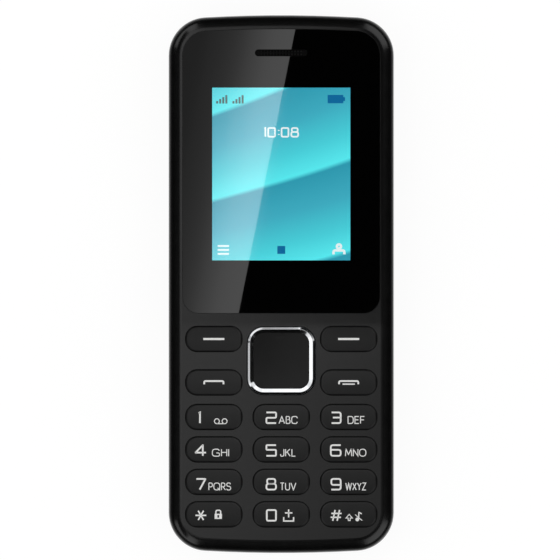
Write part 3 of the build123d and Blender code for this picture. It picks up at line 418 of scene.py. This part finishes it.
THIN, MEDIUM, BOLD = 0.18, 0.3, 0.34
handset_sign = line((-1.95, -0.36), (-1.95, 0.28), (1.95, 0.28), (1.95, -0.36), bend=0.75)
soft_sign = line((-2.14, 0.0), (2.14, 0.0))
# Small pictures beside the signs, as (path, stroke width)
ICONS = {
    "key_1": [(circle(0.62, -0.85, 0.5), THIN), (circle(2.18, -0.85, 0.5), THIN),
              (line((0.62, -1.35), (2.18, -1.35)), THIN)],
    "key_star": [(line((0.44, -0.92), (0.44, 0.13)), 0.56), (line((1.36, -0.92), (1.36, 0.13)), 0.56),
                 (line((0.72, 0.0), (1.08, 0.0)), 0.26), (line((0.72, -0.8), (1.08, -0.8)), 0.26),
                 (line((0.42, 0.13), (0.42, 0.83), (1.38, 0.83), (1.38, 0.13), bend=0.4), 0.26)],
    "key_0": [(line((1.5, -0.62), (1.5, 1.0)), 0.27), (line((0.75, 0.3), (2.25, 0.3)), 0.27),
              (line((0.5, -0.55), (0.5, -1.35), (2.5, -1.35), (2.5, -0.55)), 0.27)],
    "key_hash": [(line((-0.1, -1.25), (-0.1, -0.75), (-0.55, -0.75), (0.1, 0.0), (0.75, -0.75), (0.3, -0.75),
                       (0.3, -1.25), closed=True), 0.17),
                 (line((2.05, -1.0), (2.05, 0.45), (2.65, 0.1), bend=0.1), 0.22),
                 (circle(1.75, -1.02, 0.2), 0.36), (line((1.3, -0.05), (2.75, -1.25)), 0.15)],
    "key_soft_left": [(soft_sign, 0.42)],
    "key_soft_right": [(soft_sign, 0.42)],
    "key_call": [(handset_sign, 0.36)],
    "key_end": [(handset_sign, 0.34), (line((-1.25, -0.34), (1.25, -0.34)), 0.26)],
}
# Radius of the round bar that the keys' tops are part of, and how far the ink stands above them, in mm
CROWN, PROUD = 22.0, 0.012


def key_legend(key):
    """Ink on a key's crown: flat strokes that drop with the round bar on both sides of its top line.

    The drop is the radius less the root of the radius squared less the distance squared.
    """
    low, high = np.array(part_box(key)) / MM
    middle = (low + high)[:2] / 2
    parts = list(ICONS.get(key, []))
    if key in LEGENDS:
        sign, left, right, word, word_left, word_right = LEGENDS[key]
        base = LOW.get(key, FOOT)
        parts += lettering(sign, left, right, base, SIGN_HEIGHT, BOLD if sign.isdigit() else MEDIUM)
        parts += lettering(word, word_left, word_right, base, LETTER_HEIGHT, THIN) if word else []
    flat, faces = strokes([(dense(path), width) for path, width in parts])
    fall = CROWN - np.sqrt(CROWN ** 2 - flat[:, 1] ** 2)
    points = np.column_stack([flat + middle, high[2] - fall + PROUD])
    return mesh_piece("legend_" + key, points, faces, legend_ink, key)


for key in sorted(name for name in nodes if name.startswith("key_")):
    key_legend(key)


# Lit screen: a picture of soft waves on the display glass, with plain signs over it

def lit(name, colour_of, strength):
    """Display glass lit from behind: dark and smooth, in the colour that a function of the tree gives."""
    made, tree = blank(name)
    shader = add(tree, "ShaderNodeBsdfPrincipled", {
        "Base Color": linear("#050505"), "Roughness": 0.05, "IOR": 1.5,
        "Emission Color": colour_of(tree), "Emission Strength": strength})
    add(tree, "ShaderNodeOutputMaterial", {"Surface": shader.outputs["BSDF"]})
    return made


# Distance from one band of the picture to the next in mm, the wave texture's own repeat at a scale of 1, and
# how far the bands are turned, in radians
WAVE_BAND, WAVE_REPEAT, WAVE_TURN = 17.263, 2 * np.pi / 20, 1.25


def wave_picture(tree):
    """Broad flowing bands from deep teal to bright cyan, each with one sharp edge."""
    place = add(tree, "ShaderNodeTexCoord").outputs["Object"]
    turned = add(tree, "ShaderNodeMapping", {"Vector": place, "Rotation": (0, 0, WAVE_TURN)})
    wave = add(tree, "ShaderNodeTexWave", {
        "Vector": turned.outputs["Vector"], "Scale": WAVE_REPEAT * per_mm(WAVE_BAND), "Distortion": 2.6,
        "Detail": 1.0, "Detail Scale": 0.6, "Phase Offset": 1.2}, wave_profile="SAW")
    tone = add(tree, "ShaderNodeValToRGB", {"Fac": wave.outputs["Fac"]}, stops=(
        (0.0, "#2f97ad"), (0.35, "#3ea8bd"), (0.7, "#48cbd6"), (0.95, "#57e6ec"), (1.0, "#2f97ad")))
    return tone.outputs["Color"]


screen_picture = lit("lcd_picture_waves", wave_picture, strength=1.08)
screen_white = lit("lcd_sign_white", lambda tree: linear("#e8f6f7"), strength=1.0)
screen_slate = lit("lcd_sign_slate", lambda tree: linear("#3d5f60"), strength=1.0)
screen_blue = lit("lcd_sign_blue", lambda tree: linear("#12689c"), strength=1.0)
# Height of the glass, and how far the picture and its signs stand above it, in mm
GLASS_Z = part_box("lcd_panel")[1][2] / MM
PICTURE_PROUD, SIGNS_PROUD = 0.01, 0.03
# The picture is a flat grid over the lit screen
PICTURE_COLUMNS, PICTURE_ROWS = 25, 31
across, along = np.meshgrid(np.linspace(-0.5, 0.5, PICTURE_COLUMNS), np.linspace(-0.5, 0.5, PICTURE_ROWS))
picture = np.stack([across * SCREEN_WIDE + SCREEN_MIDDLE[0], along * SCREEN_TALL + SCREEN_MIDDLE[1],
                    np.full_like(across, GLASS_Z + PICTURE_PROUD)], axis=-1)
mesh_piece("screen_picture", picture.reshape(-1, 3), cells(*across.shape), screen_picture,
           "handset")


def screen_signs(name, parts, material):
    """Flat signs on the lit picture, placed from the screen's middle in mm."""
    flat, faces = strokes(parts)
    points = np.column_stack([flat + SCREEN_MIDDLE, np.full(len(flat), GLASS_Z + SIGNS_PROUD)])
    return mesh_piece(name, points, faces, material, "handset")


# Signs in mm from the screen's middle, as (path, stroke width). The signal bars have two sets, a foot, a
# step from bar to bar and a height for each bar.
BARS_LEFT, BARS_LOW, BAR_STEP, BAR_RISES = (-13.0, -9.7), 14.3, 0.62, (0.5, 0.9, 1.3, 1.7)
bars = [(line((left + number * BAR_STEP, BARS_LOW), (left + number * BAR_STEP, BARS_LOW + rise)), 0.42)
        for left in BARS_LEFT for number, rise in enumerate(BAR_RISES)]
clock = lettering("10:08", left=-3.6, right=3.6, low=7.4, height=2.1, width=0.34, spacing=0.34)
menu = [(line((-12.9, y), (-10.6, y)), 0.36) for y in (-16.2, -15.4, -14.6)]
contact = [(circle(11.7, -14.7, 0.42), 0.5),
           (line((10.6, -16.3), (10.6, -15.5), (12.8, -15.5), (12.8, -16.3), bend=0.6), 0.5)]
battery_sign = [(line((9.4, 15.2), (12.6, 15.2)), 1.7), (line((12.6, 15.2), (12.95, 15.2)), 0.8)]
middle_sign = [(line((-0.8, -15.4), (0.8, -15.4)), 1.6)]
screen_signs("screen_signs_white", clock + menu + contact, screen_white)
screen_signs("screen_signs_slate", bars, screen_slate)
screen_signs("screen_signs_blue", battery_sign + middle_sign, screen_blue)


# Studio: pale floor, slanted softbox, bright cards, dark cloths and corner lamps round the phone

FACE_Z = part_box("front_cover")[1][2]
FLOOR_Z = cad_box[0][2]
# Where the camera stands, from which the reflections on the lens are placed
CAMERA_RISE = 2.0
CAMERA = np.array([-0.000254, 0.000833, FACE_Z + CAMERA_RISE])
ONE_FACE = [(0, 1, 2, 3)]
REFLECTED_ONLY = {"camera": False, "diffuse": False, "shadow": False, "transmission": False}


def stage_mesh(name, points, faces, material, **seen_by):
    """A stage object from points in metres. The keywords name kinds of ray and say whether they see it."""
    mesh = bpy.data.meshes.new(name)
    mesh.from_pydata(np.asarray(points, float).tolist(), [], faces)
    mesh.materials.append(material)
    made = bpy.data.objects.new(name, mesh)
    bpy.context.scene.collection.objects.link(made)
    for ray, seen in seen_by.items():
        setattr(made, "visible_" + ray, seen)
    return made


def rectangle(low, high):
    """Corners of a card in its own two directions, in order round it."""
    return [(low[0], low[1]), (high[0], low[1]), (high[0], high[1]), (low[0], high[1])]


def dome(turns, lifts, radius):
    """A patch of a dome over the origin, as points and faces.

    A point is (cos turn cos lift, sin turn cos lift, sin lift) times the radius. Angles are in degrees.
    """
    turn, lift = np.meshgrid(np.radians(turns), np.radians(lifts))
    points = np.stack([np.cos(turn) * np.cos(lift), np.sin(turn) * np.cos(lift), np.sin(lift)], axis=-1)
    return points.reshape(-1, 3) * radius, cells(*turn.shape).tolist()


def seen_directly(tree):
    """One for rays from the camera, a reflection or glass, and nothing for the light that falls."""
    path = add(tree, "ShaderNodeLightPath").outputs
    bare = add(tree, "ShaderNodeMath", {
        0: path["Is Camera Ray"], 1: path["Is Glossy Ray"]}, operation="MAXIMUM")
    seen = add(tree, "ShaderNodeMath", {
        0: bare.outputs[0], 1: path["Is Transmission Ray"]}, operation="MAXIMUM")
    return seen.outputs[0]


def glowing_cloth(name, strength):
    """White cloth lit evenly from behind."""
    made, tree = blank(name)
    glow = add(tree, "ShaderNodeEmission", {"Color": WHITE, "Strength": strength})
    add(tree, "ShaderNodeOutputMaterial", {"Surface": glow.outputs["Emission"]})
    return made


# Floor of white paper. The clouds in it are of a size in mm.
FLOOR_REACH, PAPER_CLOUD = 4, 30
PAPER_GLOW, PAPER_GLOW_SHARE = 1.06, 0.86


def white_paper():
    """White paper: diffuse where light falls on it, and mostly bright itself to the eye and in mirrors."""
    made, tree = blank("white_paper_sweep")
    place = add(tree, "ShaderNodeTexCoord").outputs["Object"]
    fibre = add(tree, "ShaderNodeTexNoise", {"Vector": place, "Scale": per_mm(PAPER_CLOUD)})
    tone = add(tree, "ShaderNodeValToRGB", {"Fac": fibre.outputs["Fac"]}, stops=(
        (0.3, "#f4f4f3"), (0.7, "#f8f8f8")))
    share = add(tree, "ShaderNodeMath", {0: seen_directly(tree), 1: PAPER_GLOW_SHARE}, operation="MULTIPLY")
    paper = add(tree, "ShaderNodeBsdfDiffuse", {"Color": tone.outputs["Color"]})
    glow = add(tree, "ShaderNodeEmission", {"Color": WHITE, "Strength": PAPER_GLOW})
    mixed = add(tree, "ShaderNodeMixShader", {0: share.outputs[0], 1: paper.outputs[0], 2: glow.outputs[0]})
    add(tree, "ShaderNodeOutputMaterial", {"Surface": mixed.outputs[0]})
    return made


floor = [(x, y, FLOOR_Z) for x, y in rectangle((-FLOOR_REACH, -FLOOR_REACH), (FLOOR_REACH, FLOOR_REACH))]
stage_mesh("floor", floor, ONE_FACE, white_paper())

# Softbox above the face. Its slanted edge is placed by two points of the lens, in mm, where it is reflected.
BOX_RISE = 0.3
EDGE_HEAD, EDGE_FOOT = (2.79, 51.4), (-8.64, -5.87)
BOX_PAST_HEAD, BOX_PAST_FOOT, BOX_WIDE = 0.11, 0.12, 0.14
# Brightness from the edge inwards, as (share of the fade, share of the level)
BOX_FADE, BOX_LEVEL = 0.3, 2.6
BOX_FIRST, BOX_LAST = (0.0, 0.7), (1.0, 0.42)
BOX_BETWEEN = ((0.012, 0.66), (0.027, 0.5), (0.061, 0.19), (0.085, 0.14), (0.15, 0.34))


def softbox_cloth(edge_point, edge_normal):
    """Softbox cloth: brightest along its slanted edge, dimmer behind it, brighter again at the far side."""
    made, tree = blank("softbox_cloth")
    place = add(tree, "ShaderNodeTexCoord").outputs["Object"]
    away = add(tree, "ShaderNodeVectorMath", {0: place, 1: (*edge_point, 0)}, operation="SUBTRACT")
    depth = add(tree, "ShaderNodeVectorMath", {
        0: away.outputs["Vector"], 1: (*edge_normal, 0)}, operation="DOT_PRODUCT")
    share = add(tree, "ShaderNodeMapRange", {
        "Value": depth.outputs["Value"], "From Min": 0.0, "From Max": BOX_FADE})
    glow = add(tree, "ShaderNodeFloatCurve", {"Value": share.outputs["Result"]})
    curve = glow.mapping.curves[0]
    curve.points[0].location, curve.points[1].location = BOX_FIRST, BOX_LAST
    for spot in BOX_BETWEEN:
        curve.points.new(*spot)
    glow.mapping.update()
    strength = add(tree, "ShaderNodeMath", {0: glow.outputs["Value"], 1: BOX_LEVEL}, operation="MULTIPLY")
    shine = add(tree, "ShaderNodeEmission", {"Color": WHITE, "Strength": strength.outputs[0]})
    add(tree, "ShaderNodeOutputMaterial", {"Surface": shine.outputs[0]})
    return made


def mirrored(x, y):
    """Where the line of sight to a point of the lens, in mm, meets the softbox after reflection.

    It runs on past the point by the softbox's height over the camera's, both above the face.
    """
    return CAMERA[:2] + (np.array([x, y]) * MM - CAMERA[:2]) * (1 + BOX_RISE / CAMERA_RISE)


upper, lower = mirrored(*EDGE_HEAD), mirrored(*EDGE_FOOT)
slope = (upper - lower) / np.linalg.norm(upper - lower)
left_of = np.array([-slope[1], slope[0]])
box_foot, box_head = lower - slope * BOX_PAST_FOOT, upper + slope * BOX_PAST_HEAD
box = [(x, y, FACE_Z + BOX_RISE) for x, y in (
    box_foot + left_of * BOX_WIDE, box_head + left_of * BOX_WIDE, box_head, box_foot)]
stage_mesh("softbox", box, ONE_FACE, softbox_cloth(lower, left_of), camera=False, shadow=False)

# Keypad card: a second cloth, over the keypad end. It gives the face and the keys their even sheen, and a
# bright strip towards its left end shows in the ring. Its upper edge is reflected along the lens's foot.
LENS_FOOT = -6.6
CARD_LEFT, CARD_RIGHT, CARD_FOOT, CARD_RISE = -0.16, 0.1, -0.088, BOX_RISE * 0.98
CARD_FADE_END, CARD_LEVEL = 0.06, 1.55
CARD_TONES = ((0.05, "#b2b2b2"), (0.086, "#fcfcfc"), (0.205, "#fcfcfc"), (0.273, "#cdcdcd"),
              (0.568, "#cdcdcd"), (1.0, "#787878"))


def keypad_cloth():
    """Cloth of the keypad card: one ramp of tones from its left end to where it has faded."""
    made, tree = blank("keypad_cloth")
    place = add(tree, "ShaderNodeSeparateXYZ", {"Vector": add(tree, "ShaderNodeTexCoord").outputs["Object"]})
    share = add(tree, "ShaderNodeMapRange", {
        "Value": place.outputs["X"], "From Min": CARD_LEFT, "From Max": CARD_FADE_END})
    tone = add(tree, "ShaderNodeValToRGB", {"Fac": share.outputs["Result"]}, stops=CARD_TONES)
    shine = add(tree, "ShaderNodeEmission", {"Color": tone.outputs["Color"], "Strength": CARD_LEVEL})
    add(tree, "ShaderNodeOutputMaterial", {"Surface": shine.outputs["Emission"]})
    return made


edge_y = mirrored(0, LENS_FOOT)[1]
card = [(x, y, FACE_Z + CARD_RISE) for x, y in rectangle((CARD_LEFT, edge_y), (CARD_RIGHT, CARD_FOOT))]
stage_mesh("keypad_card", card, ONE_FACE, keypad_cloth(), camera=False, shadow=False)

# Dark tent: reflections above the floor meet it wherever nothing bright stands in front of it
TENT_RADIUS, TENT_TURNS, TENT_LIFTS = 3.0, np.linspace(0, 360, 49), np.linspace(0, 90, 7)
dark_cloth = finish("dark_tent_cloth", "#020202", "#030303", mottle=40.0, rough=(0.9, 1.0))
tent, tent_faces = dome(TENT_TURNS, TENT_LIFTS, TENT_RADIUS)
stage_mesh("dark_tent", tent, tent_faces, dark_cloth, camera=False, diffuse=False, shadow=False)

# Mats: in reflections the floor turns grey a little way out and then dark, so that the phone's outermost
# edge is pale, with a dim sheen inside it. Each mat is a frame between two half sizes, a hair above the
# floor.
GREY_FROM, GREY_TO, DARK_TO = (0.033, 0.065), (0.05, 0.082), (3.0, 3.0)
MAT_RISE, GREY_LEVEL = 0.0001, 0.4


def mat_frame(name, inner, outer, cloth):
    """A flat frame between two rectangles round the origin: each side is one face."""
    edges = [corner for reach in (inner, outer) for corner in rectangle((-reach[0], -reach[1]), reach)]
    points = [(x, y, FLOOR_Z + MAT_RISE) for x, y in edges]
    sides = [(k, (k + 1) % 4, (k + 1) % 4 + 4, k + 4) for k in range(4)]
    return stage_mesh(name, points, sides, cloth, **REFLECTED_ONLY)


mat_frame("grey_border", GREY_FROM, GREY_TO, glowing_cloth("grey_border_cloth", GREY_LEVEL))
mat_frame("dark_mat", GREY_TO, DARK_TO, dark_cloth)

# Bounce card: a small upright card across the phone at the lens's foot, so that the upper slopes of the keys
# and of the ring catch light. Heights are above the face.
BOUNCE_HALF, BOUNCE_LOW, BOUNCE_HIGH = 0.03, 0.006, 0.18
BOUNCE_FULL = 0.04
PATCH_HALF, PATCH_HALF_FADED = 0.0075, 0.01
PATCH_HIGH, PATCH_HIGH_FADED = 0.07, 0.09
PATCH_EXTRA = 0.5


def bounce_cloth():
    """Cloth of the bounce card: clear from behind, fading in with height, with a brighter patch low down.

    The patch's extra light is a fall across from the middle times a fall with height.
    """
    made, tree = blank("bounce_card")
    place = add(tree, "ShaderNodeSeparateXYZ", {"Vector": add(tree, "ShaderNodeTexCoord").outputs["Object"]})
    behind = add(tree, "ShaderNodeNewGeometry").outputs["Backfacing"]
    thin = add(tree, "ShaderNodeMapRange", {
        "Value": place.outputs["Z"], "From Min": FACE_Z + BOUNCE_LOW, "From Max": FACE_Z + BOUNCE_FULL,
        "To Min": 1.0, "To Max": 0.0})
    clear_share = add(tree, "ShaderNodeMath", {0: behind, 1: thin.outputs["Result"]}, operation="MAXIMUM")
    aside = add(tree, "ShaderNodeMath", {0: place.outputs["X"]}, operation="ABSOLUTE")
    middle = add(tree, "ShaderNodeMapRange", {
        "Value": aside.outputs[0], "From Min": PATCH_HALF, "From Max": PATCH_HALF_FADED,
        "To Min": PATCH_EXTRA, "To Max": 0.0})
    low = add(tree, "ShaderNodeMapRange", {
        "Value": place.outputs["Z"], "From Min": FACE_Z + PATCH_HIGH, "From Max": FACE_Z + PATCH_HIGH_FADED,
        "To Min": 1.0, "To Max": 0.0})
    level = add(tree, "ShaderNodeMath", {
        0: middle.outputs["Result"], 1: low.outputs["Result"], 2: 1.0}, operation="MULTIPLY_ADD")
    glow = add(tree, "ShaderNodeEmission", {"Color": WHITE, "Strength": level.outputs[0]})
    clear = add(tree, "ShaderNodeBsdfTransparent")
    mixed = add(tree, "ShaderNodeMixShader", {
        0: clear_share.outputs[0], 1: glow.outputs["Emission"], 2: clear.outputs["BSDF"]})
    add(tree, "ShaderNodeOutputMaterial", {"Surface": mixed.outputs["Shader"]})
    return made


bounce = [(x, edge_y, FACE_Z + z) for x, z in rectangle(
    (-BOUNCE_HALF, BOUNCE_LOW), (BOUNCE_HALF, BOUNCE_HIGH))]
stage_mesh("bounce_card", bounce, ONE_FACE, bounce_cloth(), **REFLECTED_ONLY)

# Left flag: a narrow dark strip beside the left edge, so that the black rim reaches further in there
FLAG_X, FLAG_HALF, FLAG_LOW, FLAG_HIGH = -0.0262, 0.06, 0.004, 0.018
flag = [(FLAG_X, y, FACE_Z + z) for y, z in rectangle((-FLAG_HALF, FLAG_LOW), (FLAG_HALF, FLAG_HIGH))]
stage_mesh("left_flag", flag, ONE_FACE, dark_cloth, **REFLECTED_ONLY)

# Four corner lamps with cloth fronts, low down at the diagonals: they show only as sheen on rounded corners.
# Angles are in degrees.
LAMP_DISTANCE, LAMP_HALF_TURN, LAMP_LIFTS, LAMP_LEVEL = 1.5, 26, (8, 58), 1.25
lamp_cloth = glowing_cloth("corner_lamp_cloth", LAMP_LEVEL)
for number, heading in enumerate((45, 135, 225, 315)):
    lamp, lamp_faces = dome((heading - LAMP_HALF_TURN, heading + LAMP_HALF_TURN), LAMP_LIFTS, LAMP_DISTANCE)
    stage_mesh(f"corner_lamp_{number}", lamp, lamp_faces, lamp_cloth, **REFLECTED_ONLY)

# Soft light from all round, a little brighter to the eye than to the phone
WORLD_LIGHT, WORLD_SEEN = 0.7, 0.97
world = bpy.data.worlds.new("studio")
bpy.context.scene.world = world
world.use_nodes = True
sky = world.node_tree
sky.nodes.clear()
sky_level = add(sky, "ShaderNodeMapRange", {
    "Value": seen_directly(sky), "To Min": WORLD_LIGHT, "To Max": WORLD_SEEN})
around = add(sky, "ShaderNodeBackground", {"Color": WHITE, "Strength": sky_level.outputs["Result"]})
add(sky, "ShaderNodeOutputWorld", {"Surface": around.outputs["Background"]})

# Camera straight above the face. The focal length gives the picture this width at the face.
SENSOR_MM, PICTURE_WIDE = 36, 0.11357
eye = bpy.data.cameras.new("camera")
eye.sensor_width = SENSOR_MM
eye.lens = SENSOR_MM * CAMERA_RISE / PICTURE_WIDE
eye.clip_end = 20
camera = bpy.data.objects.new("camera", eye)
camera.location = CAMERA
bpy.context.scene.collection.objects.link(camera)
bpy.context.scene.camera = camera
bpy.context.scene.view_settings.view_transform = "Standard"
